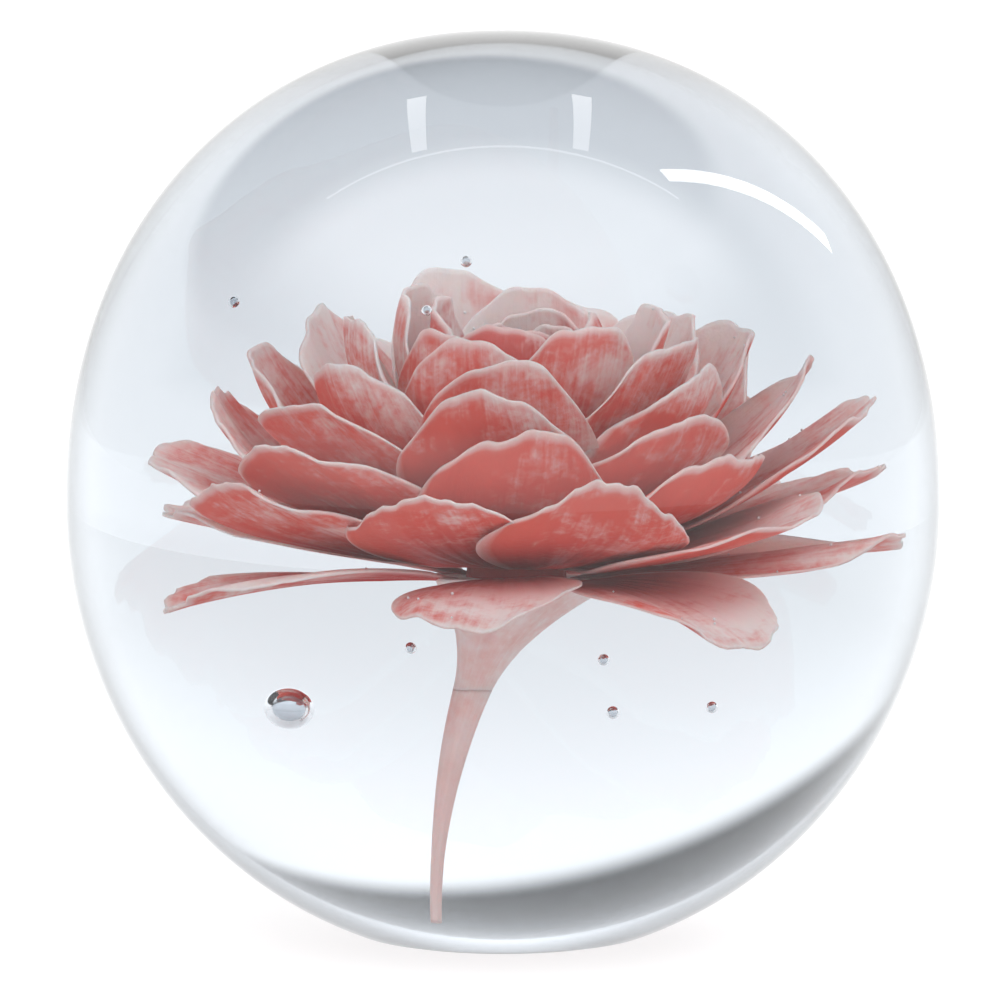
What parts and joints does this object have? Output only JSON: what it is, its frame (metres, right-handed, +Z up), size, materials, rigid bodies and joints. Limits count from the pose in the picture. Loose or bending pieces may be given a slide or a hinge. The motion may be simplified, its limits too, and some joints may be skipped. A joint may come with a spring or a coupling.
{
  "type": "glass flower paperweight",
  "caption": "Round clear glass paperweight on a flat ground foot, with a coral-pink many-petalled flower, its thin stem and air bubbles sealed inside.",
  "frame": {"origin": "centre of the ground flat foot, on the surface that the paperweight stands on", "axes": "+Z up through the crown, -Y towards the viewer's side of the flower, +X to the viewer's right"},
  "size_m": [0.08, 0.08, 0.083],
  "materials": {
    "clear_glass": "polished",
    "coral_glass": "satin",
    "frosted_pink_glass": "satin",
    "deep_coral_glass": "satin",
    "pale_pink_glass": "satin"
  },
  "bodies": {
    "root": {"glass_body": "clear_glass", "receptacle": "deep_coral_glass", "calyx": "pale_pink_glass", "stem": "pale_pink_glass", "guard_petal_1": "coral_glass", "guard_petal_2": "coral_glass", "guard_petal_3": "coral_glass", "guard_petal_4": "coral_glass", "guard_petal_5": "coral_glass", "guard_petal_6": "coral_glass", "lower_petal_1": "coral_glass", "lower_petal_2": "coral_glass", "lower_petal_3": "coral_glass", "lower_petal_4": "coral_glass", "lower_petal_5": "coral_glass", "lower_petal_6": "coral_glass", "lower_petal_7": "coral_glass", "lower_petal_8": "coral_glass", "outer_petal_1": "coral_glass", "outer_petal_2": "coral_glass", "outer_petal_3": "coral_glass", "outer_petal_4": "coral_glass", "outer_petal_5": "coral_glass", "outer_petal_6": "coral_glass", "outer_petal_7": "coral_glass", "middle_petal_1": "frosted_pink_glass", "middle_petal_2": "frosted_pink_glass", "middle_petal_3": "frosted_pink_glass", "middle_petal_4": "frosted_pink_glass", "middle_petal_5": "frosted_pink_glass", "middle_petal_6": "frosted_pink_glass", "middle_petal_7": "frosted_pink_glass", "upper_petal_1": "frosted_pink_glass", "upper_petal_2": "frosted_pink_glass", "upper_petal_3": "frosted_pink_glass", "upper_petal_4": "frosted_pink_glass", "upper_petal_5": "frosted_pink_glass", "upper_petal_6": "frosted_pink_glass", "inner_petal_1": "frosted_pink_glass", "inner_petal_2": "frosted_pink_glass", "inner_petal_3": "frosted_pink_glass", "inner_petal_4": "frosted_pink_glass", "inner_petal_5": "frosted_pink_glass", "crown_petal_1": "frosted_pink_glass", "crown_petal_2": "frosted_pink_glass", "crown_petal_3": "frosted_pink_glass", "crown_petal_4": "frosted_pink_glass", "crown_petal_5": "frosted_pink_glass", "heart_petal_1": "deep_coral_glass", "heart_petal_2": "deep_coral_glass", "heart_petal_3": "deep_coral_glass", "heart_petal_4": "deep_coral_glass", "bud_petal_1": "deep_coral_glass", "bud_petal_2": "deep_coral_glass", "bud_petal_3": "deep_coral_glass"}
  },
  "joints": []
}
